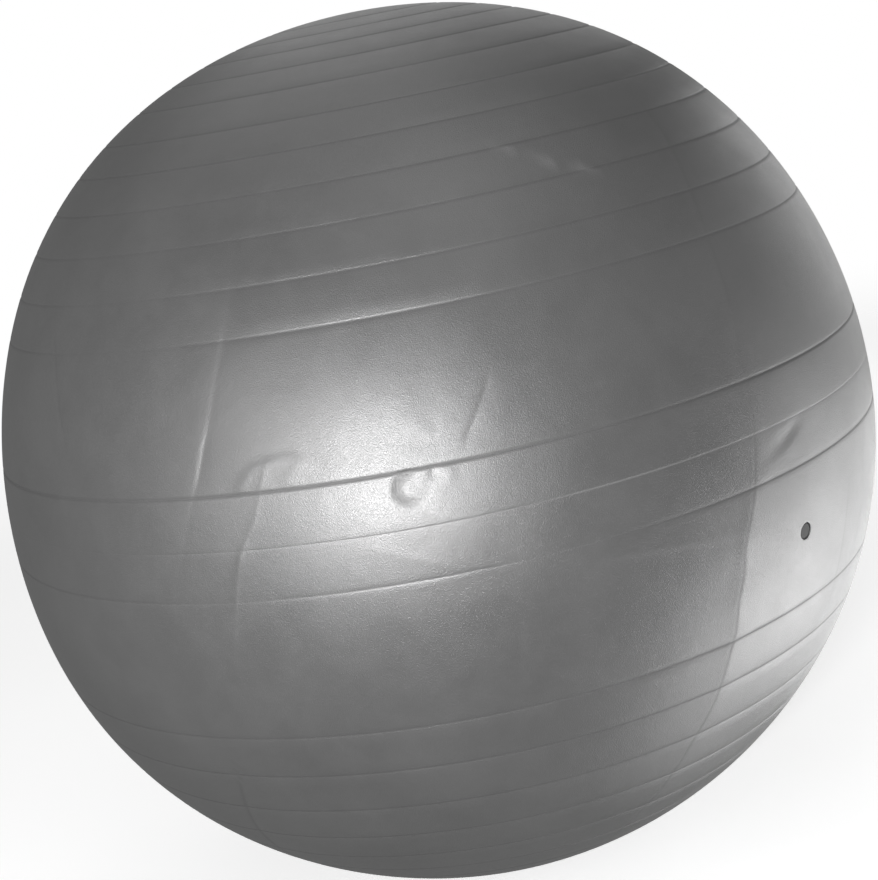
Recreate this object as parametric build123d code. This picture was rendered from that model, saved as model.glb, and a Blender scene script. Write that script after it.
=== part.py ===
from build123d import *
import os
from math import acos, asin, cos, degrees, pi, radians, sin, sqrt

# ---------------------------------------------------------------------------
# Inflatable exercise ball, 65 cm. Millimetres, +Z up.
# Origin: centre of the small flat patch on which the inflated ball rests.
# +Z runs through both poles of the mould, so the grip grooves are circles
# round Z. The air valve faces -Y, a little below mid height.
#
# Pieces: ball_shell (rotomoulded vinyl skin, one hollow piece),
#         valve_seat (flanged vinyl grommet welded inside the skin),
#         valve_plug (push-in air plug, pulled straight out along its axis).
# ---------------------------------------------------------------------------

# Skin
BALL_R = 325.0            # outer radius when inflated
WALL = 0.85               # skin thickness
PATCH_R = 28.0            # radius of the flat resting patch
CENTRE_Z = sqrt(BALL_R**2 - PATCH_R**2)

# Recessed circles, as latitudes from the centre of the inflated ball. The
# lower half of the skin has stretched a little more than the upper one, so
# the mould's parting line stands above mid height and the lower grooves lie
# further apart than the upper ones.
PARTING_LAT = 4.14
BAND_LATS = [10.04, -1.46]                      # wider pair beside the parting line
UPPER_LATS = [26.3, 31.9, 37.6, 43.1, 48.5, 53.6, 59.5, 64.6, 69.5, 74.0, 79.0]
LOWER_LATS = [-18.8, -24.9, -31.4, -37.7, -43.8, -49.7, -55.6, -61.4, -67.1, -72.7, -78.3]

# Groove sections: (width at the surface, width of the floor, depth)
GRIP_GROOVE = (3.2, 0.9, 0.42)
BAND_GROOVE = (4.0, 1.2, 0.55)
PARTING_GROOVE = (1.0, 0.3, 0.14)

# Valve
VALVE_LAT = -9.33         # latitude of the valve axis, on the -Y meridian
HOLE_R = 5.6              # hole in the skin, which rings the plug's head
FLANGE_R = 18.0           # seat flange, welded to the inside of the skin
FLANGE_T = 2.4
FLANGE_EDGE = 0.6         # the flange thins to this at its rim
SEAT_BARREL_R = 7.6
SEAT_DEPTH = 24.0         # from the ball's surface to the inner end of the seat
BORE_R = 4.0              # air passage
BORE_MOUTH_R = 4.6        # lead-in at the inner end
RECESS_DEPTH = 2.2        # from the ball's surface to the shelf under the head

HEAD_R = 5.3
HEAD_TOP = 0.5            # the head's top lies this far below the surface
HEAD_UNDER = 2.12         # underside of the head, below the surface
STEM_R = 3.45
RIB_R = 3.95              # sealing ribs, 0.05 mm clear of the bore all round
RIBS = [6.0, 10.4, 14.8]  # middle of each rib, below the surface
RIB_LAND = 0.5            # half of the flat top of a rib
RIB_FOOT = 1.15           # half of a rib at the stem
STEM_END = 19.0
NOSE_END = 23.4
NOSE_R = 2.1


def on_circle(radius, lat):
    return (radius * cos(radians(lat)), CENTRE_Z + radius * sin(radians(lat)))


def skin_line(offset):
    """Points and edges of one surface of the skin in the half plane, from the top pole to the patch's rim."""
    radius = BALL_R - offset
    grooves = [(lat, GRIP_GROOVE) for lat in UPPER_LATS + LOWER_LATS]
    grooves += [(lat, BAND_GROOVE) for lat in BAND_LATS]
    grooves += [(PARTING_LAT, PARTING_GROOVE)]
    grooves.sort(key=lambda g: -g[0])
    edges = []
    at = 90.0
    for lat, (width, floor, depth) in grooves:
        half = degrees(width / 2 / BALL_R)
        flat = degrees(floor / 2 / BALL_R)
        start, end = lat + half, lat - half
        middle = (at + start) / 2
        edges.append(ThreePointArc(on_circle(radius, at), on_circle(radius, middle), on_circle(radius, start)))
        edges.append(Line(on_circle(radius, start), on_circle(radius - depth, lat + flat)))
        edges.append(
            ThreePointArc(
                on_circle(radius - depth, lat + flat),
                on_circle(radius - depth, lat),
                on_circle(radius - depth, lat - flat),
            )
        )
        edges.append(Line(on_circle(radius - depth, lat - flat), on_circle(radius, end)))
        at = end
    # down to the rim of the flat patch, whose inner face is one wall higher
    rim = -degrees(asin((CENTRE_Z - offset) / radius))
    edges.append(ThreePointArc(on_circle(radius, at), on_circle(radius, (at + rim) / 2), on_circle(radius, rim)))
    edges.append(Line(on_circle(radius, rim), (0, offset)))
    return edges


def body_of(offset):
    """The solid inside one surface of the skin."""
    edges = skin_line(offset)
    edges.append(Line((0, offset), (0, CENTRE_Z + BALL_R - offset)))
    face = make_face(Wire(edges))
    # the half plane is drawn in X and Y, and stands up to X and Z
    return revolve(Rot(90, 0, 0) * face, Axis.Z, 360)


def turned(points):
    """A body of revolution about +Z from (radius, height) points."""
    face = make_face(Polyline(*points, close=True))
    return revolve(Rot(90, 0, 0) * face, Axis.Z, 360)


# The valve's own frame: origin on the ball's surface, +Z outward.
outward = Vector(0, -cos(radians(VALVE_LAT)), sin(radians(VALVE_LAT)))
centre = Vector(0, 0, CENTRE_Z)
valve = Location(Plane(origin=centre + outward * BALL_R, x_dir=(1, 0, 0), z_dir=outward))

# --- skin -------------------------------------------------------------------
hole = valve * Cylinder(HOLE_R, 30)
ball_shell = body_of(0) - body_of(WALL) - hole

# --- seat -------------------------------------------------------------------
# The flange's outer face follows the inside of the skin, 0.02 mm clear of it,
# which stands for the weld line.
inner_r = BALL_R - WALL - 0.02
seat_blank = turned(
    [
        (0, 0),
        (FLANGE_R, 0),
        (FLANGE_R, -WALL - FLANGE_EDGE - 0.5),
        (SEAT_BARREL_R + 2.0, -WALL - FLANGE_T),
        (SEAT_BARREL_R, -WALL - FLANGE_T - 1.6),
        (SEAT_BARREL_R - 0.7, -SEAT_DEPTH + 0.6),
        (SEAT_BARREL_R - 1.3, -SEAT_DEPTH),
        (0, -SEAT_DEPTH),
    ]
)
seat_way = turned(
    [
        (0, 1),
        (HOLE_R, 1),
        (HOLE_R, -RECESS_DEPTH),
        (BORE_R + 0.4, -RECESS_DEPTH),
        (BORE_R, -RECESS_DEPTH - 0.5),
        (BORE_R, -SEAT_DEPTH + 1.2),
        (BORE_MOUTH_R, -SEAT_DEPTH + 0.3),
        (BORE_MOUTH_R, -SEAT_DEPTH - 1),
        (0, -SEAT_DEPTH - 1),
    ]
)
inside = Pos(0, 0, CENTRE_Z) * Sphere(inner_r)
valve_seat = (valve * (seat_blank - seat_way)) & inside

# --- plug -------------------------------------------------------------------
profile = [
    (0, -HEAD_TOP),
    (HEAD_R - 1.4, -HEAD_TOP),
    (HEAD_R - 0.8, -HEAD_TOP - 0.06),
    (HEAD_R - 0.35, -HEAD_TOP - 0.22),
    (HEAD_R - 0.1, -HEAD_TOP - 0.45),
    (HEAD_R, -HEAD_TOP - 0.75),
    (HEAD_R, -HEAD_UNDER + 0.25),
    (HEAD_R - 0.3, -HEAD_UNDER),
    (STEM_R + 0.35, -HEAD_UNDER),
    (STEM_R, -HEAD_UNDER - 0.5),
]
for rib in RIBS:
    profile += [
        (STEM_R, -rib + RIB_FOOT),
        (RIB_R, -rib + RIB_LAND),
        (RIB_R, -rib - RIB_LAND),
        (STEM_R, -rib - RIB_FOOT),
    ]
profile += [(STEM_R, -STEM_END), (NOSE_R, -NOSE_END + 0.5), (NOSE_R - 0.5, -NOSE_END), (0, -NOSE_END)]
valve_plug = valve * turned(profile)

# --- write ------------------------------------------------------------------
os.makedirs("parts", exist_ok=True)
for name, shape in (
    ("ball_shell", ball_shell),
    ("valve_seat", valve_seat),
    ("valve_plug", valve_plug),
):
    shape.label = name
    export_step(shape, f"parts/{name}.step")
    print(name, "solids", len(shape.solids()), "volume mm3", round(shape.volume, 1))
print("centre height", round(CENTRE_Z, 3), "valve axis", [round(c, 5) for c in outward])
print("valve surface point", [round(c, 3) for c in (centre + outward * BALL_R)])
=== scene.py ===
import math
import bpy
import numpy as np
from mathutils import Matrix, Vector


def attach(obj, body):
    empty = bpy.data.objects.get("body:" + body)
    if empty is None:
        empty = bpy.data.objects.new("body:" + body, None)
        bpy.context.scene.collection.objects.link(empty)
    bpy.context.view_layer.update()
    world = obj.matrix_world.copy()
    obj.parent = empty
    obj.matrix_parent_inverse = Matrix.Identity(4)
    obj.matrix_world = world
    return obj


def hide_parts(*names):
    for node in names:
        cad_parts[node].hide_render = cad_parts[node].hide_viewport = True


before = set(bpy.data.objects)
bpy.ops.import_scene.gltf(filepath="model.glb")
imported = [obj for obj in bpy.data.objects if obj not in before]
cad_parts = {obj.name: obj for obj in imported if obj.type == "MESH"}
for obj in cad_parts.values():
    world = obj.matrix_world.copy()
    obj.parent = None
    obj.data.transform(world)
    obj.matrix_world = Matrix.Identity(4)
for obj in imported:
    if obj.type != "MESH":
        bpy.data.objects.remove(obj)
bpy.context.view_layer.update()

# ---------------------------------------------------------------------------
# The ball as the CAD has it, in millimetres and degrees
# ---------------------------------------------------------------------------
BALL_R = 325.0
PATCH_R = 28.0
CENTRE_Z = math.sqrt(BALL_R ** 2 - PATCH_R ** 2)
WALL = 0.85
UPPER = [26.3, 31.9, 37.6, 43.1, 48.5, 53.6, 59.5, 64.6, 69.5, 74.0, 79.0]
LOWER = [-18.8, -24.9, -31.4, -37.7, -43.8, -49.7, -55.6, -61.4, -67.1, -72.7, -78.3]
BAND = [10.04, -1.46]
PARTING = 4.14
VALVE_LAT = -9.33
VALVE_LON = 43.08      # longitudes are counted from the camera's meridian
HOLE_R = 5.6
MM = math.radians(1) * BALL_R      # millimetres in a degree of arc
MERGE = 66.0           # nearer to a pole than this, every second column ends


def direction(lat, lon):
    """Unit vectors from the ball's centre; the valve faces -Y."""
    la, fi = np.radians(lat), np.radians(np.asarray(lon) - VALVE_LON)
    return np.stack([np.cos(la) * np.sin(fi), -np.cos(la) * np.cos(fi), np.sin(la) * np.ones_like(fi)], -1)


# ---------------------------------------------------------------------------
# Camera: 4 radii from the ball's centre, rolled so that the poles lean left
# ---------------------------------------------------------------------------
DIST, TILT, ROLL = 4.0, math.radians(12.64), math.radians(11.15)
axis = np.array([-math.sin(ROLL) * math.cos(TILT), math.cos(ROLL) * math.cos(TILT), math.sin(TILT)])
u_cam = np.array([0, 0, 1.0]) - axis * axis[2]
u_cam /= np.linalg.norm(u_cam)
v_cam = np.cross(axis, u_cam)
u_w, v_w, z_w = direction(0, 0), direction(0, 90), np.array([0, 0, 1.0])
# columns: the camera's x, y and z axes in the row frame
CAM = np.stack([u_cam[k] * u_w + v_cam[k] * v_w + axis[k] * z_w for k in range(3)], 1)
CENTRE = np.array([0, 0, CENTRE_Z]) / 1000
R_M = BALL_R / 1000


def from_camera_frame(p):
    """A point given in camera axes, in ball radii from the ball's centre, as metres in the row frame."""
    return CENTRE + CAM @ np.asarray(p, float) * R_M


cam_data = bpy.data.cameras.new("camera")
cam = bpy.data.objects.new("camera", cam_data)
bpy.context.scene.collection.objects.link(cam)
cam_pos = from_camera_frame((0, 0, DIST))
m = Matrix.Identity(4)
for r in range(3):
    for k in range(3):
        m[r][k] = CAM[r, k]
    m[r][3] = cam_pos[r]
cam.matrix_world = m
cam_data.sensor_width = 36
FOCAL_PX = 439.26 * math.sqrt(DIST ** 2 - 1)
cam_data.lens = FOCAL_PX * 36 / 880
cam_data.shift_x = (439.0 - 437.2) / 880
cam_data.shift_y = -(440.0 - 439.3) / 880
cam_data.clip_start, cam_data.clip_end = 0.05, 100
bpy.context.scene.camera = cam

# ---------------------------------------------------------------------------
# Shape of the inflated skin: how far each point stands out of the true
# sphere, in millimetres, from its latitude and longitude in degrees
# ---------------------------------------------------------------------------
rng = np.random.default_rng(20417)


def smooth(x, a, b):
    t = np.clip((x - a) / (b - a), 0, 1)
    return t * t * (3 - 2 * t)


def to_line(lat, lon, points):
    """Nearest point of a polyline of (lat, lon, amount): (signed distance in mm, positive on the left of its direction, amount there)."""
    best = np.full(np.shape(lat), 1e9)
    signed = np.zeros(np.shape(lat))
    amount = np.zeros(np.shape(lat))
    for (la0, lo0, am0), (la1, lo1, am1) in zip(points, points[1:]):
        k = math.cos(math.radians((la0 + la1) / 2))
        ax, ay = 0.0, 0.0
        bx, by = (lo1 - lo0) * k * MM, (la1 - la0) * MM
        dl = (lon - lo0 + 180) % 360 - 180
        px, py = dl * k * MM, (lat - la0) * MM
        ll = bx * bx + by * by
        t = np.clip((px * bx + py * by) / ll, 0, 1)
        dx, dy = px - t * bx, py - t * by
        d = np.hypot(dx, dy)
        side = np.sign(bx * py - by * px)
        near = d < best
        best = np.where(near, d, best)
        signed = np.where(near, d * side, signed)
        amount = np.where(near, am0 + (am1 - am0) * t, amount)
    return signed, amount


def fold(lat, lon, points, left, right, edge=0.9):
    """A crease: a cusp that dies away over `left` mm and `right` mm on its two sides, of the amount its points give."""
    d, amount = to_line(lat, lon, points)
    reach = np.where(d > 0, left, right)
    q = np.sqrt(d * d + edge * edge) - edge
    return amount * np.exp(-q / reach)


def dimple(lat, lon, la0, lo0, length, width, turn, depth):
    """A soft oval dent. turn is the angle of its long axis above the local horizontal."""
    k = math.cos(math.radians(la0))
    x, y = ((lon - lo0 + 180) % 360 - 180) * k * MM, (lat - la0) * MM
    c, s = math.cos(math.radians(turn)), math.sin(math.radians(turn))
    a, b = x * c + y * s, -x * s + y * c
    return -depth * np.exp(-((a / length) ** 2) - (b / width) ** 2)


# Creases as (lat, lon, mm); the first four also steer the mesh's columns.
C_LEFT_CURVE = [(29, -53.6, 0), (26.2, -52.3, -0.3), (19.9, -49.8, -0.34), (13.9, -46.9, 0)]
C_LEFT = [(37, -21.8, 0), (30.7, -22.4, -0.1), (25.9, -23, -0.26), (21, -24.2, -0.2), (17.1, -25.2, -0.3), (15.2, -25.9, -0.6), (12.4, -26.8, -0.5), (10.2, -27.8, -0.12), (-0.9, -32.6, -0.07), (-8, -34, 0)]
C_LEFT_2 = [(13.4, -18.3, 0), (11.3, -19.2, 0.34), (9.4, -19.9, 0.2), (7.3, -20.7, 0.34), (5.2, -22, 0.25), (3.4, -23.2, 0.72), (1.2, -23.9, 0.3), (-1.1, -24.6, 0.42), (-3.4, -25.3, 0.16), (-5.7, -26.1, 0.2), (-8.1, -26.8, 0.08), (-12, -27, 0)]
C_SHORT = [(19, 7.2, 0), (17, 6.3, -0.3), (12.9, 3.5, -0.3), (10.6, 2.2, 0)]
C_RIGHT_UP = [(49, 47.6, 0), (44, 46.8, -0.1), (40, 45.5, -0.26), (35, 43.4, -0.2), (30.5, 41.7, -0.34), (26, 40.2, -0.16), (22.1, 39.3, -0.3), (17, 38.2, -0.12), (13.3, 37.3, -0.16), (7, 36.4, 0)]
C_RIGHT = [(12, 37.1, 0), (3.5, 35.9, 0.3), (-1.6, 34.5, 0.7), (-4.6, 33.4, 1.0), (-7.4, 32.2, 1.25), (-10.6, 31.9, 1.0), (-13.6, 31.1, 1.2), (-17.5, 30.9, 0.85), (-21.1, 30.1, 0.85), (-26.5, 29.1, 0.55), (-32.9, 26.6, 0.42), (-40.8, 24, 0.38), (-50.2, 20, 0.2), (-60, 19, 0)]
C_ARC = [(-5, 54.6, 0), (-10.4, 53.7, -0.16), (-18.3, 52.3, -0.16), (-22, 51.8, 0)]
C_LOW_LEFT = [(-21, -32.4, 0), (-25.9, -34.9, -0.5), (-36, -40.2, -0.6), (-43.4, -43.6, -0.5), (-51, -46, 0)]
C_HOOK = [(10.3, -22.6, 0), (10.9, -21.9, 0.45), (12.5, -20.4, 0.6), (13.1, -18, 0.6), (13.3, -15.5, 0.45), (12.6, -13.9, 0.2), (11.4, -13.3, 0)]
C_HOOK_IN = [(10.6, -17.2, 0), (11.1, -16.6, 0.34), (12.8, -14.8, 0.36), (12.2, -13.8, 0.2), (11, -13.4, 0)]
C_SQUIGGLE = [(43.4, 15.6, 0), (42.6, 18.1, 0.4), (41.4, 21.4, 0.5), (38.9, 23.8, 0.5), (38.3, 25.6, 0.4), (37.4, 28.4, 0.3), (36.4, 30.5, 0)]
C_FAINT_1 = [(3.6, -10, 0), (2.5, -7.9, 0.2), (0.3, -2.6, 0.2), (-1, 0.6, 0)]
C_FAINT_2 = [(-3.6, 14, 0), (-4.1, 17.6, 0.16), (-5.0, 24.9, 0.22), (-6.3, 32.2, 0.1)]
C_FAINT_3 = [(20, -31.6, 0), (18.3, -32.7, -0.2), (15.9, -35, 0)]
C_FAINT_4 = [(17, -39, 0), (15.9, -38.2, -0.16), (11.5, -33.5, -0.16), (10.6, -32.6, 0)]
C_BACK_1 = [(62, 128, 0), (48, 131, -0.3), (22, 127, -0.42), (2, 133, -0.45), (-21, 129, -0.4), (-46, 136, -0.3), (-60, 137, 0)]
C_BACK_2 = [(55, 214, 0), (40, 212, 0.3), (12, 219, 0.5), (-14, 214, 0.5), (-38, 221, 0.3), (-52, 222, 0)]


def steer(points, ends):
    """Longitude of a crease at each latitude, carried on to the poles."""
    rows = sorted([(p[0], p[1]) for p in points] + ends)
    la, lo = zip(*rows)
    return np.array(la), np.array(lo)


STEERED = [
    (-78.0, steer([], [(-90, -78), (90, -78)])),
    (-47.0, steer(C_LEFT_CURVE + C_LOW_LEFT[1:], [(-90, -47), (-15, -40), (0, -45), (45, -54), (90, -54)])),
    (-28.5, steer(C_LEFT, [(-90, -33), (-45, -33), (-26, -29.3), (50, -21), (90, -21)])),
    (-20.5, steer(C_LEFT_2, [(-90, -23), (-30, -25), (26, -15), (90, -14)])),
    (3.0, steer(C_SHORT, [(-90, 1), (0, 1), (30, 7), (90, 7)])),
    (33.5, steer(C_RIGHT_UP + C_RIGHT[2:], [(-90, 17), (90, 49)])),
    (54.0, steer(C_ARC, [(-90, 50), (0, 55.3), (90, 60)])),
    (86.0, steer([], [(-90, 86), (90, 86)])),
    (132.0, steer(C_BACK_1, [(-90, 137), (90, 128)])),
    (216.0, steer(C_BACK_2, [(-90, 222), (90, 214)])),
    (282.0, steer([], [(-90, 282), (90, 282)])),
]


def columns():
    """Column parameters: denser along each steered crease, at the small dents and at the valve."""
    wanted = []

    def add(a, b, step):
        n = max(1, int(round((b - a) / step)))
        wanted.extend((a + (b - a) * i / n, step) for i in range(n + 1))

    add(-78, 86, 1.2)
    add(86, 282, 3.1)
    add(-7.2, 1.9, 0.38)
    add(-24, -12.5, 0.5)
    add(40.2, 46, 0.72)
    add(16, 30, 0.9)
    fine = [0, 0.16, 0.36, 0.66, 1.1, 1.7]
    for s, _ in STEERED[1:-1]:
        if s == 86.0:
            continue
        for f in fine:
            wanted += [(s + f, max(f * 0.3, 0.15)), (s - f, max(f * 0.3, 0.15))]
    anchors = {s for s, _ in STEERED}
    wanted.sort(key=lambda w: (w[0] not in anchors, w[1]))
    kept = []
    for s, step in wanted:
        s = (s + 78) % 360 - 78
        if all(abs((s - k + 180) % 360 - 180) > step * 0.55 for k in kept):
            kept.append(s)
    kept.sort()
    if len(kept) % 2:
        gaps = [(kept[i + 1] - kept[i], i) for i in range(len(kept) - 1)]
        i = max(gaps)[1]
        kept.insert(i + 1, (kept[i] + kept[i + 1]) / 2)
    return np.array(kept)


def rows():
    """Latitudes of the mesh rows, from high to low, without the poles."""
    marks = []
    for lat in UPPER + LOWER:
        pole = 1 if lat > 0 else -1
        marks.append((lat, [1.3 * pole, 0.62 * pole, 0, -0.8 * pole, -1.8 * pole, -2.8 * pole]))
    marks.append((BAND[0], [2.0, 1.2, 0.5, 0, -0.5, -1.2, -2.0]))
    marks.append((BAND[1], [2.3, 1.3, 0.55, 0, -0.5, -1.1]))
    marks.append((PARTING, [0.85, 0.36, 0, -0.36, -0.85]))
    marks.sort(key=lambda m: -m[0])
    out = []
    last = 88.6
    out.append(last)
    for lat, offsets in marks:
        group = sorted({lat + o / MM for o in offsets}, reverse=True)
        gap = last - group[0]
        middle = (last + group[0]) / 2
        step = 2.6 / MM if -20 < middle < 27 else (8.0 / MM if abs(middle) < 66 else 9.5 / MM)
        n = max(1, int(round(gap / step)))
        out += [last - gap * i / n for i in range(1, n)]
        out += group
        last = group[-1]
    rim = -math.degrees(math.asin(CENTRE_Z / BALL_R))
    gap = last - rim
    out += [last - gap * i / 5 for i in range(1, 5)]
    out += [rim + 0.25, rim, rim - 1.2, -88.4]
    return np.array(out)


def harmonics(n):
    """The ball is a little out of round. Slow swells, in mm, along directions n."""
    c = n @ CAM          # the same directions in camera axes
    theta = np.arctan2(c[..., 1], c[..., 0])
    outline = (
        OUT2[0] * np.cos(2 * theta) + OUT2[1] * np.sin(2 * theta)
        + OUT3[0] * np.cos(3 * theta) + OUT3[1] * np.sin(3 * theta)
        + OUT4[0] * np.cos(4 * theta) + OUT4[1] * np.sin(4 * theta)
        + OUT5[0] * np.cos(5 * theta) + OUT5[1] * np.sin(5 * theta)
    )
    return outline * np.exp(-(((c[..., 2] - 0.25) / 0.42) ** 2))


# outline swells: cosine and sine amounts in mm, angle anticlockwise from image right
PX = BALL_R / 439.26
OUT2 = (-0.47 * PX, 0.67 * PX)
OUT3 = (0.43 * PX, 0.88 * PX)
OUT4 = (-1.60 * PX, -1.59 * PX)
OUT5 = (0.98 * PX, -0.01 * PX)

lumps = []
for _ in range(70):
    z = rng.uniform(-1, 1)
    a = rng.uniform(0, 2 * math.pi)
    lumps.append((
        np.array([math.sqrt(1 - z * z) * math.cos(a), math.sqrt(1 - z * z) * math.sin(a), z]),
        math.radians(rng.uniform(7, 17)),
        rng.normal() * 0.16,
    ))


def swell(lat, lon):
    n = direction(lat, lon)
    h = harmonics(n)
    for d, width, amount in lumps:
        angle2 = 2 * (1 - n @ d)
        h = h + amount * np.exp(-angle2 / (width * width))
    k = n @ direction(VALVE_LAT, VALVE_LON)
    off = np.degrees(np.arccos(np.clip(k, -1, 1))) * MM
    h = h * smooth(off, 14, 70)                  # true to the valve seat
    return h * smooth(lat, -86, -66)             # and to the resting patch


def wavy(lon, seed, low, high):
    r = np.random.default_rng(seed)
    w = sum(r.uniform(0.3, 1) * np.cos(np.radians(k * lon) + r.uniform(0, 6.28)) for k in (1, 2, 3, 5, 8))
    w = w / 2.2
    return low + (high - low) * (0.5 + 0.5 * np.clip(w, -1, 1))


def ring(lat, at, pole_side, other_side, power=None):
    """Section of a recessed circle, 0 to 1: its wall towards the pole is as wide in mm as the first number, the other wall as the second."""
    d = (lat - at) * MM * (1 if at > 0 else -1)
    t = np.clip(np.where(d > 0, d / pole_side, -d / other_side), 0, 1)
    return np.cos(np.pi / 2 * t) ** 2 if power is None else (1 - t) ** power


def worn(g, lon):
    """How much of a grip groove is left, 0 to 1: the lowest ones of the upper half nearly vanish on the left, where the skin is tightest."""
    turn = (lon + 180) % 360 - 180
    loss = {26.3: 0.85, 31.9: 0.8, 37.6: 0.55, 43.1: 0.35}.get(g, 0.0)
    return 1 - loss * np.exp(-(((turn + 41) / 19) ** 2))


def grooves(lat, lon):
    """Height of the recessed circles, in mm."""
    h = np.zeros(np.shape(lat))
    turn = (lon + 180) % 360 - 180
    fading = 1 - 0.45 * np.exp(-(((turn + 62) / 38) ** 2))       # shallower where the skin has stretched more
    for i, g in enumerate(sorted(UPPER + LOWER)):
        h = h - wavy(lon, 100 + i, 0.29, 0.40) * fading * worn(g, lon) * ring(lat, g, 1.25, 2.8)
    h = h - wavy(lon, 200, 0.46, 0.56) * ring(lat, BAND[0], 1.9, 1.9, 1.7)
    soft = 1 - 0.72 * np.exp(-(((turn + 25) / 12) ** 2)) - 0.82 * np.exp(-(((turn - 8) / 10.5) ** 2))
    soft = soft * (1 - 0.25 * np.exp(-(((turn + 9) / 8) ** 2)))
    h = h - wavy(lon, 201, 0.28, 0.37) * soft * ring(lat, BAND[1], 1.1, 2.7, 1.6)
    h = h - wavy(lon, 300, 0.10, 0.14) * ring(lat, PARTING, 0.62, 0.62, 1.2)
    return h


def dent_arc(lat, lon):
    """The curved dent under the upper band groove: 1 along its deepest line, 0 away from it."""
    x = (lon + 3.5) * math.cos(math.radians(8.3)) * MM
    y = (lat - 8.2) * MM
    rho, ang = np.hypot(x, y * 1.05), np.degrees(np.arctan2(y, x))
    return np.exp(-((rho - 9.2) / 2.2) ** 2) * (0.15 + 0.85 * smooth(np.abs(ang), 50, 120))


def creases(lat, lon):
    h = np.zeros(np.shape(lat))
    h += fold(lat, lon, C_LEFT_CURVE, 6, 3.5)
    h += fold(lat, lon, C_LEFT, 9, 1.3, 0.4)
    h += fold(lat, lon, C_LEFT_2, 5, 1.8, 0.6)
    h += fold(lat, lon, C_SHORT, 3, 2, 0.5)
    h += fold(lat, lon, C_RIGHT_UP, 5, 5, 1.2)
    h += fold(lat, lon, C_RIGHT, 17, 13, 0.7)
    h += fold(lat, lon, C_ARC, 4, 4)
    h += fold(lat, lon, C_LOW_LEFT, 8, 6)
    h += fold(lat, lon, C_HOOK, 1.4, 5, 0.4)
    h += fold(lat, lon, C_HOOK_IN, 1.5, 3.5, 0.5)
    h += fold(lat, lon, C_SQUIGGLE, 2.5, 2.5)
    h += fold(lat, lon, C_FAINT_1, 2, 4)
    h += fold(lat, lon, C_FAINT_2, 1.6, 1.6)
    h += fold(lat, lon, C_FAINT_3, 2.5, 2.5)
    h += fold(lat, lon, C_FAINT_4, 2.5, 2.5)
    h += fold(lat, lon, C_BACK_1, 9, 5)
    h += fold(lat, lon, C_BACK_2, 14, 20)
    # a fine mark runs along the crest of the long right crease
    d, amount = to_line(lat, lon, C_RIGHT)
    h -= 0.14 * np.clip(amount / 0.5, 0, 1) * np.exp(-(d / 1.1) ** 2)
    # small dents beside the upper band groove
    h -= 1.1 * dent_arc(lat, lon)
    h += dimple(lat, lon, 9.0, -3.2, 3.4, 1.5, 5, 0.4)
    h += dimple(lat, lon, 9.35, -1.1, 3.0, 2.0, 50, 0.9)
    h += dimple(lat, lon, 8.95, 0.6, 3.4, 3.0, 0, -0.4)
    # a short wave above the valve, and the small folds inside the hook
    h += dimple(lat, lon, 2.2, 41.0, 15, 3.6, 24, 1.0)
    h += dimple(lat, lon, 0.6, 39.0, 13, 4, 24, -0.4)
    h += dimple(lat, lon, -9.0, 29.1, 9, 2.2, 75, -0.3)
    h += dimple(lat, lon, -11.3, -28.3, 3.5, 3.5, 0, 0.25)
    return h


def height(lat, lon):
    return swell(lat, lon) + grooves(lat, lon) + creases(lat, lon)


# ---------------------------------------------------------------------------
# Skin mesh
# ---------------------------------------------------------------------------
ROW = rows()
COL = columns()
print("skin rows", len(ROW), "columns", len(COL))
anchor_s = np.array([s for s, _ in STEERED] )


def column_lons(lat):
    curve = np.array([np.interp(lat, la, lo) for _, (la, lo) in STEERED])
    return np.interp(COL, anchor_s, curve)


def place(lat, lon, h):
    """Vertices in metres from latitudes, longitudes and heights above the sphere, flattened at the resting patch."""
    p = direction(lat, lon) * ((BALL_R + h)[..., None]) + np.array([0, 0, CENTRE_Z])
    p[..., 2] = np.maximum(p[..., 2], 0.0)
    return p / 1000


verts, faces = [], []
count = 0
row_ids, row_lats, row_lons = [], [], []
for lat in ROW:
    lon = column_lons(float(np.clip(lat, -89, 89)))
    if abs(lat) > MERGE:
        lon = lon[::2]
    ids = np.arange(count, count + len(lon))
    count += len(lon)
    row_ids.append(ids)
    row_lats.append(np.full(len(lon), lat))
    row_lons.append(lon)
LAT, LON = np.concatenate(row_lats), np.concatenate(row_lons)
H = height(LAT, LON)
verts = list(place(LAT, LON, H))
top = count
verts.append(np.array([0, 0, (CENTRE_Z + BALL_R + float(np.mean(H[:len(row_ids[0])]))) / 1000]))
bottom = count + 1
verts.append(np.array([0, 0, 0.0]))

# the block of cells round the valve is left out and meshed in rings
vrow = [i for i, lat in enumerate(ROW) if abs(lat - VALVE_LAT) * MM < 17]
r0, r1 = vrow[0], vrow[-1]
mid_lons = column_lons(VALVE_LAT)
k_valve = math.cos(math.radians(VALVE_LAT)) * MM
vcol = [j for j, lo in enumerate(mid_lons) if abs(lo - VALVE_LON) * k_valve < 17]
c0, c1 = vcol[0], vcol[-1]

for j in range(len(row_ids[0])):
    a = row_ids[0]
    faces.append((top, a[j], a[(j + 1) % len(a)]))
for i in range(len(ROW) - 1):
    a, b = row_ids[i], row_ids[i + 1]
    if len(a) == len(b):
        n = len(a)
        for j in range(n):
            if r0 <= i < r1 and len(a) == len(COL) and c0 <= j < c1:
                continue
            k = (j + 1) % n
            faces.append((a[j], b[j], b[k], a[k]))
    elif len(a) < len(b):
        n = len(a)
        for j in range(n):
            k = (j + 1) % n
            p, q, r = b[2 * j], b[2 * j + 1], b[(2 * j + 2) % len(b)]
            faces += [(a[j], p, q), (a[j], q, a[k]), (a[k], q, r)]
    else:
        n = len(b)
        for j in range(n):
            k = (j + 1) % n
            p, q, r = a[2 * j], a[2 * j + 1], a[(2 * j + 2) % len(a)]
            faces += [(p, b[j], q), (q, b[j], b[k]), (q, b[k], r)]
a = row_ids[-1]
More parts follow.
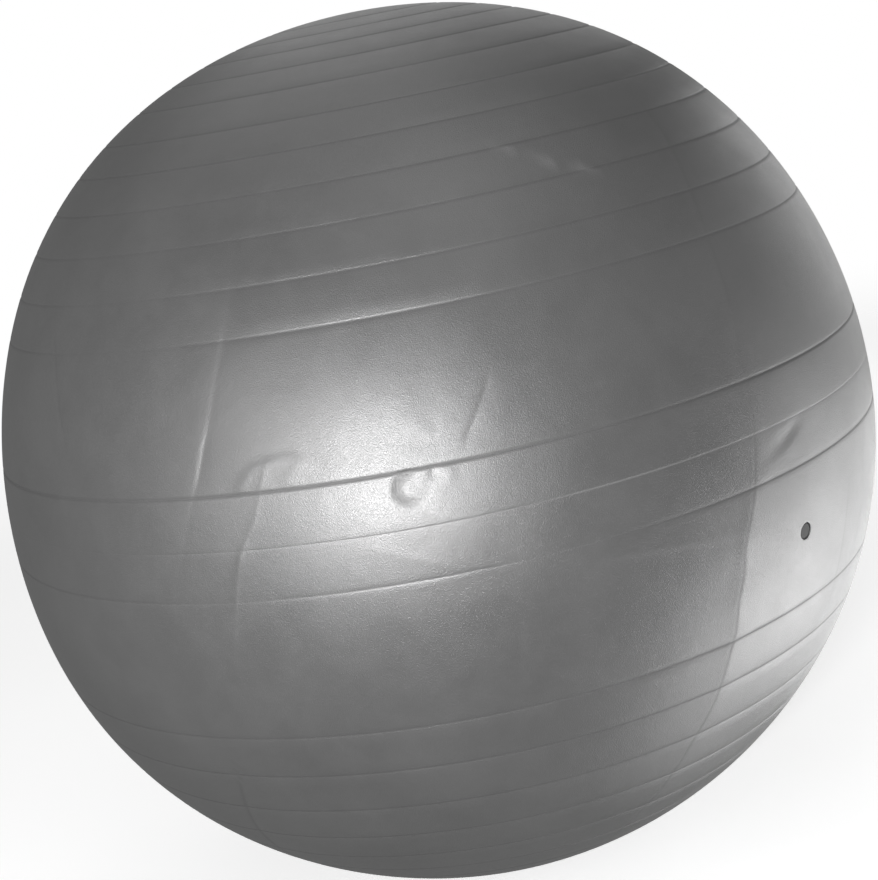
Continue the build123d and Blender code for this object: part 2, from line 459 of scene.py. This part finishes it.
for j in range(len(a)):
    faces.append((a[j], bottom, a[(j + 1) % len(a)]))

# rings round the valve: from the block's edge in to the hole, and down its wall
out_dir = direction(VALVE_LAT, VALVE_LON)
vx = direction(0, VALVE_LON + 90)
vy = np.cross(out_dir, vx)
valve_at = np.array([0, 0, CENTRE_Z]) + out_dir * BALL_R
loop = [row_ids[r1][j] for j in range(c0, c1)]
loop += [row_ids[i][c1] for i in range(r1, r0, -1)]
loop += [row_ids[r0][j] for j in range(c1, c0, -1)]
loop += [row_ids[i][c0] for i in range(r0, r1)]
loop = np.array(loop)
edge = np.array([verts[i] for i in loop]) * 1000 - valve_at
ang = np.arctan2(edge @ vy, edge @ vx)
rad = np.hypot(edge @ vx, edge @ vy)
previous = loop


def on_skin(radius, angle, drop):
    """Points at a distance from the valve's axis, on the skin's surface less a drop, in metres."""
    x, y = radius * np.cos(angle), radius * np.sin(angle)
    z = np.sqrt((BALL_R) ** 2 - x * x - y * y) - BALL_R - drop
    return (valve_at + x[:, None] * vx + y[:, None] * vy + z[:, None] * out_dir) / 1000


N = len(loop)
even = np.unwrap(ang)
start = even[0]
target = start + 2 * np.pi * np.arange(N) / N * np.sign(even[-1] - even[0])
rings = [(0.25, 0), (0.5, 0), (0.72, 0), (0.88, 0), (1.0, 0)]
for share, drop in rings:
    radius = rad * (1 - share) + (HOLE_R + 0.55) * share
    angle = even * (1 - share * 0.7) + target * share * 0.7
    pts = on_skin(radius, angle, np.full(N, drop))
    ids = np.arange(len(verts), len(verts) + N)
    verts += list(pts)
    for j in range(N):
        k = (j + 1) % N
        faces.append((previous[j], previous[k], ids[k], ids[j]))
    previous = ids
final_angle = even * 0.3 + target * 0.7
for radius, drop in ((HOLE_R + 0.3, 0.05), (HOLE_R + 0.12, 0.16), (HOLE_R + 0.03, 0.32), (HOLE_R, 0.5), (HOLE_R, WALL)):
    pts = on_skin(np.full(N, radius), final_angle, np.full(N, drop))
    ids = np.arange(len(verts), len(verts) + N)
    verts += list(pts)
    for j in range(N):
        k = (j + 1) % N
        faces.append((previous[j], previous[k], ids[k], ids[j]))
    previous = ids
rim_inner = previous

# the inside of the skin, coarse because nothing but air is there
in_rows = np.linspace(84, -82, 42)
in_cols = np.linspace(0, 360, 64, endpoint=False) + VALVE_LON + 360 / 128
ilat, ilon = np.meshgrid(in_rows, in_cols, indexing="ij")
off = np.degrees(np.arccos(np.clip(direction(ilat, ilon) @ out_dir, -1, 1))) * MM
depth = WALL + 1.6 * smooth(off, 25, 80)
p = direction(ilat, ilon) * ((BALL_R + swell(ilat, ilon) - depth)[..., None]) + np.array([0, 0, CENTRE_Z])
p[..., 2] = np.maximum(p[..., 2], 2.0)
base = len(verts)
verts += list(p.reshape(-1, 3) / 1000)
gid = base + np.arange(ilat.size).reshape(ilat.shape)
itop = len(verts)
verts.append(np.array([0, 0, (CENTRE_Z + BALL_R - 2.45) / 1000]))
ibot = len(verts)
verts.append(np.array([0, 0, 2.0 / 1000]))
hr = [i for i in range(len(in_rows)) if abs(in_rows[i] - VALVE_LAT) < 6.2]
hc = [j for j in range(len(in_cols)) if abs((in_cols[j] - VALVE_LON + 180) % 360 - 180) < 5.8]
if hc != list(range(hc[0], hc[-1] + 1)):     # the block lies across the seam of the columns
    hc = [j for j in hc if j > 32] + [j for j in hc if j < 32]
hole_cells = {(i, j) for i in hr[:-1] for j in hc[:-1]}
nC = len(in_cols)
for i in range(len(in_rows) - 1):
    for j in range(nC):
        k = (j + 1) % nC
        if (i, j) in hole_cells:
            continue
        faces.append((gid[i, j], gid[i, k], gid[i + 1, k], gid[i + 1, j]))
for j in range(nC):
    k = (j + 1) % nC
    faces.append((itop, gid[0, k], gid[0, j]))
    faces.append((gid[-1, j], gid[-1, k], ibot))
iloop = [gid[hr[-1], j] for j in hc[:-1]]
iloop += [gid[i, hc[-1]] for i in reversed(hr[1:])]
iloop += [gid[hr[0], j] for j in reversed(hc[1:])]
iloop += [gid[i, hc[0]] for i in hr[:-1]]


def angle_of(i):
    q = np.array(verts[i]) * 1000 - valve_at
    return math.atan2(q @ vy, q @ vx)


def zipper(outer, inner):
    """Triangles between two rings round the valve's axis, as (outer, inner, next) going the same way round."""
    o = sorted(outer, key=angle_of)
    q = sorted(inner, key=angle_of)
    ao = [angle_of(i) for i in o]
    aq = [angle_of(i) for i in q]
    out = []
    i = j = 0
    while i < len(o) or j < len(q):
        next_o = ao[i + 1] if i + 1 < len(o) else ao[0] + 2 * math.pi
        next_q = aq[j + 1] if j + 1 < len(q) else aq[0] + 2 * math.pi
        if j >= len(q) or (i < len(o) and next_o <= next_q):
            out.append((o[i % len(o)], q[j % len(q)], o[(i + 1) % len(o)]))
            i += 1
        else:
            out.append((o[i % len(o)], q[j % len(q)], q[(j + 1) % len(q)]))
            j += 1
    return out


faces += zipper(iloop, list(rim_inner))

V = np.array(verts)
mesh = bpy.data.meshes.new("ball_skin")
mesh.from_pydata([tuple(v) for v in V], [], [tuple(int(i) for i in f) for f in faces])
mesh.validate()
import bmesh
bm = bmesh.new()
bm.from_mesh(mesh)
bmesh.ops.recalc_face_normals(bm, faces=bm.faces)
open_edges = sum(1 for e in bm.edges if not e.is_manifold)
if bm.calc_volume(signed=True) < 0:
    bmesh.ops.reverse_faces(bm, faces=bm.faces)
volume = bm.calc_volume(signed=True)
tris = sum(len(f.verts) - 2 for f in bm.faces)
bm.to_mesh(mesh)
bm.free()
print("skin open edges", open_edges, "volume", round(volume, 6), "triangles", tris)
mesh.polygons.foreach_set("use_smooth", np.ones(len(mesh.polygons), bool))

# what the material reads: a painted shade line, darker and duller, along grooves, creases and the dent arc, and a pale
# line that is part fold whitening, part painted highlight
painted_shade = np.zeros(len(V), np.float32)
whitening_and_highlight = np.zeros(len(V), np.float32)
n_skin = len(LAT)
# painted shade along the grip grooves, the band grooves and the parting line
lines = [0.6 * worn(g, LON) * ring(LAT, g, 0.3, 2.2) for g in UPPER]
lines += [0.85 * ring(LAT, g, 0.3, 2.2) for g in LOWER]
lines.append(1.0 * ring(LAT, BAND[0], 1.9, 1.9, 1.0))
clear = np.exp(-(((((LON + 180) % 360 - 180) + 3) / 17) ** 2))
lines.append(0.8 * (1 - clear) * ring(LAT, BAND[1], 0.35, 2.2, 1.0))
# painted shade: the parting line is darkened only where it crosses the flash highlight
lines.append(0.95 * (1 - smooth(LON, -1, 6)) * smooth(LON, -18, -8) * ring(LAT, PARTING, 0.42, 0.42, 1.0))
# painted shade along the long right crease and the other folds that face away from the light
for line, strength in ((C_RIGHT, 0.5), (C_RIGHT_UP, 0.32), (C_LOW_LEFT, 0.42), (C_ARC, 0.4), (C_LEFT_CURVE, 0.4)):
    d, amount = to_line(LAT, LON, line)
    lines.append(strength * np.clip(np.abs(amount) / 0.4, 0, 1) * np.exp(-(d / 1.5) ** 2))
# painted shade along the dent arc below the upper band groove
lines.append(0.75 * dent_arc(LAT, LON) ** 2 * (LAT < BAND[0]))
painted_shade[:n_skin] = np.max(lines, axis=0)
# pale lines: partly whitening along the folds, partly painted highlight on the squiggle and the faint folds
lines = []
for line, strength in ((C_LEFT, 0.16), (C_LEFT_2, 0.22), (C_SHORT, 0.1), (C_SQUIGGLE, 0.5), (C_FAINT_1, 0.2), (C_FAINT_2, 0.45), (C_BACK_1, 0.2), (C_BACK_2, 0.2)):
    d, amount = to_line(LAT, LON, line)
    lines.append(strength * np.clip(np.abs(amount) / 0.35, 0, 1) * np.exp(-((d / 1.6) ** 2)))
# painted highlight: the parting line is made paler to the right of the flash highlight, where it catches the light
parted = smooth(LON, 4, 16) * (0.35 + 0.65 * (1 - smooth(LON, 52, 70)))
lines.append(0.9 * parted * ring(LAT, PARTING, 0.85, 0.85, 1.0))
whitening_and_highlight[:n_skin] = np.max(lines, axis=0)
for name, data in (("painted_shade_line", painted_shade), ("fold_whitening_and_painted_highlight", whitening_and_highlight)):
    attribute = mesh.attributes.new(name, "FLOAT", "POINT")
    attribute.data.foreach_set("value", data)

skin = bpy.data.objects.new("ball_skin", mesh)
bpy.context.scene.collection.objects.link(skin)
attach(skin, "ball")
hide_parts("ball_shell")

# ---------------------------------------------------------------------------
# Materials
# ---------------------------------------------------------------------------


class Nodes:
    def __init__(self, name):
        self.material = bpy.data.materials.new(name)
        self.material.use_nodes = True
        self.tree = self.material.node_tree
        self.tree.nodes.clear()
        self.out = self.new("ShaderNodeOutputMaterial")
        self.bsdf = self.new("ShaderNodeBsdfPrincipled")
        self.link(self.bsdf.outputs[0], self.out.inputs["Surface"])
        self.coord = self.new("ShaderNodeTexCoord").outputs["Object"]

    def new(self, kind, **settings):
        node = self.tree.nodes.new(kind)
        for key, value in settings.items():
            setattr(node, key, value)
        return node

    def link(self, a, b):
        self.tree.links.new(a, b)

    def noise(self, scale, detail=2.0, rough=0.5, distortion=0.0, offset=None):
        n = self.new("ShaderNodeTexNoise")
        n.inputs["Scale"].default_value = scale
        n.inputs["Detail"].default_value = detail
        n.inputs["Roughness"].default_value = rough
        n.inputs["Distortion"].default_value = distortion
        where = self.coord
        if offset:
            mapping = self.new("ShaderNodeMapping")
            mapping.inputs["Location"].default_value = offset
            self.link(self.coord, mapping.inputs["Vector"])
            where = mapping.outputs[0]
        self.link(where, n.inputs["Vector"])
        return n.outputs[0]

    def span(self, value, a, b, c, d, smooth=True):
        n = self.new("ShaderNodeMapRange")
        n.interpolation_type = "SMOOTHSTEP" if smooth else "LINEAR"
        for name, number in (("From Min", a), ("From Max", b), ("To Min", c), ("To Max", d)):
            n.inputs[name].default_value = number
        self.link(value, n.inputs["Value"])
        return n.outputs[0]

    def math(self, operation, a, b):
        n = self.new("ShaderNodeMath", operation=operation)
        for socket, value in zip(n.inputs, (a, b)):
            if isinstance(value, (int, float)):
                socket.default_value = value
            else:
                self.link(value, socket)
        return n.outputs[0]

    def ramp(self, value, stops):
        n = self.new("ShaderNodeValToRGB")
        ramp = n.color_ramp
        while len(ramp.elements) < len(stops):
            ramp.elements.new(0.5)
        for element, (position, colour) in zip(ramp.elements, stops):
            element.position = position
            element.color = (*colour, 1)
        self.link(value, n.inputs[0])
        return n.outputs[0]

    def mix(self, factor, a, b, blend="MIX"):
        n = self.new("ShaderNodeMix", data_type="RGBA", blend_type=blend)
        if isinstance(factor, (int, float)):
            n.inputs[0].default_value = factor
        else:
            self.link(factor, n.inputs[0])
        for socket, value in ((n.inputs[6], a), (n.inputs[7], b)):
            if isinstance(value, tuple):
                socket.default_value = (*value, 1)
            else:
                self.link(value, socket)
        return n.outputs[2]

    def attribute(self, name):
        return self.new("ShaderNodeAttribute", attribute_name=name).outputs["Fac"]


def grey(v, warm=0.0):
    return (v * (1 + warm), v, v * (1 - warm))


def skin_material():
    k = Nodes("skin_vinyl")
    mottle = k.noise(9.0, 4.0, 0.6)
    patch = k.noise(34.0, 5.0, 0.62, 0.4, (3.1, 1.7, 0.4))
    speck = k.noise(1500.0, 2.0, 0.6)
    base = k.ramp(mottle, [(0.30, grey(0.076)), (0.5, grey(0.085)), (0.70, grey(0.096))])
    base = k.mix(k.span(patch, 0.35, 0.72, 0.0, 0.28), base, grey(0.104))
    base = k.mix(k.span(speck, 0.30, 0.75, 0.0, 0.35), base, grey(0.066))
    groove = k.attribute("painted_shade_line")
    crease = k.attribute("fold_whitening_and_painted_highlight")
    # painted shade: the base is darkened towards near-black along grooves, creases and the dent arc
    base = k.mix(k.math("MULTIPLY", groove, 0.62), base, grey(0.03))
    # pale lines: part fold whitening, part painted highlight
    base = k.mix(k.math("MULTIPLY", crease, 0.5), base, grey(0.26))
    # faint rubbed scuffs
    scuff_where = k.span(k.noise(6.0, 3.0, 0.55, 0.0, (7.0, 2.0, 5.0)), 0.56, 0.70, 0.0, 1.0)
    scuff_line = k.span(k.noise(60.0, 6.0, 0.7, 2.2, (1.0, 4.0, 2.0)), 0.62, 0.76, 0.0, 1.0)
    scuff = k.math("MULTIPLY", scuff_where, scuff_line)
    base = k.mix(k.math("MULTIPLY", scuff, 0.22), base, grey(0.14))
    k.link(base, k.bsdf.inputs["Base Color"])
    rough = k.span(patch, 0.3, 0.7, 0.345, 0.40)
    rough = k.math("ADD", rough, k.span(speck, 0.3, 0.7, -0.03, 0.04))
    rough = k.math("ADD", rough, k.math("MULTIPLY", groove, 0.30))
    rough = k.math("ADD", rough, k.math("MULTIPLY", scuff, 0.10))
    k.link(rough, k.bsdf.inputs["Roughness"])
    k.bsdf.inputs["IOR"].default_value = 1.65
    k.bsdf.inputs["Specular IOR Level"].default_value = 1.0
    # moulded stipple: small pits and pimples about a millimetre and a half apart
    cells = k.new("ShaderNodeTexVoronoi", feature="SMOOTH_F1")
    cells.inputs["Scale"].default_value = 1500.0
    cells.inputs["Smoothness"].default_value = 0.6
    cells.inputs["Randomness"].default_value = 1.0
    k.link(k.coord, cells.inputs["Vector"])
    grain = k.noise(1700.0, 2.0, 0.6, 0.0, (0.3, 0.2, 0.9))
    coarse = k.noise(420.0, 2.0, 0.5, 0.0, (5.3, 2.2, 1.9))
    surface = k.math("ADD", k.math("MULTIPLY", cells.outputs["Distance"], 0.55), k.math("MULTIPLY", grain, 1.25))
    surface = k.math("ADD", surface, k.math("MULTIPLY", coarse, 0.22))
    bump = k.new("ShaderNodeBump")
    bump.inputs["Strength"].default_value = 0.9
    bump.inputs["Distance"].default_value = 0.00015
    k.link(surface, bump.inputs["Height"])
    ripple = k.new("ShaderNodeBump")
    ripple.inputs["Strength"].default_value = 0.35
    ripple.inputs["Distance"].default_value = 0.0012
    k.link(k.noise(26.0, 3.0, 0.5, 0.2, (2.0, 6.0, 1.0)), ripple.inputs["Height"])
    k.link(ripple.outputs[0], bump.inputs["Normal"])
    k.link(bump.outputs[0], k.bsdf.inputs["Normal"])
    return k.material


def plastic_material(name, low, high, rough_low, rough_high, grain_scale, bump_mm, specular=0.5):
    k = Nodes(name)
    mottle = k.noise(220.0, 4.0, 0.6)
    base = k.ramp(mottle, [(0.3, grey(low)), (0.7, grey(high))])
    rub = k.span(k.noise(900.0, 3.0, 0.6, 1.2, (3.0, 3.0, 1.0)), 0.55, 0.72, 0.0, 0.3)
    base = k.mix(rub, base, grey(high * 1.5))
    k.link(base, k.bsdf.inputs["Base Color"])
    k.link(k.span(mottle, 0.3, 0.7, rough_low, rough_high), k.bsdf.inputs["Roughness"])
    k.bsdf.inputs["IOR"].default_value = 1.5
    k.bsdf.inputs["Specular IOR Level"].default_value = specular
    bump = k.new("ShaderNodeBump")
    bump.inputs["Strength"].default_value = 0.4
    bump.inputs["Distance"].default_value = bump_mm / 1000
    k.link(k.noise(grain_scale, 3.0, 0.6), bump.inputs["Height"])
    k.link(bump.outputs[0], k.bsdf.inputs["Normal"])
    return k.material


def give(obj, material):
    obj.data.materials.clear()
    obj.data.materials.append(material)


give(skin, skin_material())
give(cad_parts["valve_seat"], plastic_material("seat_vinyl", 0.065, 0.085, 0.5, 0.6, 1500.0, 0.1, 0.4))
give(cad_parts["valve_plug"], plastic_material("plug_plastic", 0.052, 0.070, 0.60, 0.70, 2200.0, 0.08, 0.35))

# ---------------------------------------------------------------------------
# Floor, world and lights
# ---------------------------------------------------------------------------
FLOOR_GLOW = 0.5
FLOOR_R = 3.0
floor_mesh = bpy.data.meshes.new("floor")
floor_mesh.from_pydata([(FLOOR_R * math.cos(t), FLOOR_R * math.sin(t), 0) for t in np.linspace(0, 2 * math.pi, 96, endpoint=False)], [], [tuple(range(96))])
floor = bpy.data.objects.new("floor", floor_mesh)
bpy.context.scene.collection.objects.link(floor)
floor.visible_glossy = False
floor.visible_diffuse = False
floor.visible_shadow = False
k = Nodes("floor_paint")
k.link(k.ramp(k.noise(1.3, 2.0, 0.5), [(0.3, grey(0.86)), (0.7, grey(0.90))]), k.bsdf.inputs["Base Color"])
k.bsdf.inputs["Roughness"].default_value = 0.9
k.bsdf.inputs["Specular IOR Level"].default_value = 0.0
k.bsdf.inputs["Emission Color"].default_value = (1, 1, 1, 1)
k.bsdf.inputs["Emission Strength"].default_value = FLOOR_GLOW
far = k.new("ShaderNodeVectorMath", operation="LENGTH")
k.link(k.coord, far.inputs[0])
k.link(k.span(far.outputs["Value"], 0.75, 2.6, 1.0, 0.0), k.bsdf.inputs["Alpha"])
give(floor, k.material)

world = bpy.data.worlds.new("studio")
bpy.context.scene.world = world
world.use_nodes = True
wt = world.node_tree
wt.nodes.clear()
w_out = wt.nodes.new("ShaderNodeOutputWorld")
w_mix = wt.nodes.new("ShaderNodeMixShader")
w_path = wt.nodes.new("ShaderNodeLightPath")
w_dim = wt.nodes.new("ShaderNodeBackground")
w_dim.inputs["Color"].default_value = (1, 1, 1, 1)
w_dim.inputs["Strength"].default_value = 0.235
w_seen = wt.nodes.new("ShaderNodeBackground")
w_seen.inputs["Color"].default_value = (1, 1, 1, 1)
w_seen.inputs["Strength"].default_value = 1.0
wt.links.new(w_path.outputs["Is Camera Ray"], w_mix.inputs[0])
wt.links.new(w_dim.outputs[0], w_mix.inputs[1])
wt.links.new(w_seen.outputs[0], w_mix.inputs[2])
wt.links.new(w_mix.outputs[0], w_out.inputs["Surface"])


def area(name, at, size, watts, aim=(0, 0, 0), size_y=None, shape=None):
    """An area light; at and aim in camera axes and ball radii from the ball's centre."""
    data = bpy.data.lights.new(name, "AREA")
    data.energy = watts
    data.shape = shape or ("RECTANGLE" if size_y else "DISK")
    data.size = size
    if size_y:
        data.size_y = size_y
    light = bpy.data.objects.new(name, data)
    bpy.context.scene.collection.objects.link(light)
    p, q = Vector(from_camera_frame(at)), Vector(from_camera_frame(aim))
    light.location = p
    light.rotation_mode = "QUATERNION"
    light.rotation_quaternion = (q - p).to_track_quat("-Z", "Y")
    light.visible_camera = False
    return light


# lights
area("flash", (-0.585, -0.64, 4.05), 0.15, 12.5)
area("fill_left", (-2.0, -0.87, 4.5), 0.8, 5.6)
area("side_left", (-3.2, -0.44, 3.82), 1.0, 3.4)
area("overhead", (0.0, 4.33, 2.5), 1.2, 1.9)
area("rear_top", (0.0, 3.83, -3.21), 1.2, 1.6)
area("top_rim", (-1.5, 4.6, -1.2), 1.2, 1.5)
area("window_high", (3.37, 2.11, -3.03), 1.0, 2.6)
area("window_side", (4.9, 0.6, -0.5), 1.0, 1.2)
area("window_near", (4.85, -0.87, -0.86), 1.0, 5.8)
area("window_far", (3.66, -0.87, -3.29), 1.0, 5.0)
area("window_mid", (4.53, -1.87, -0.96), 0.7, 3.2)
area("window_low", (4.33, -2.5, -0.15), 0.7, 4.0)
area("bounce_right", (3.7, -3.21, -0.99), 1.0, 3.4)

# end of lights
scene = bpy.context.scene
scene.view_settings.view_transform = "Standard"
scene.view_settings.look = "None"
scene.view_settings.exposure = 0.0
scene.view_settings.gamma = 1.0
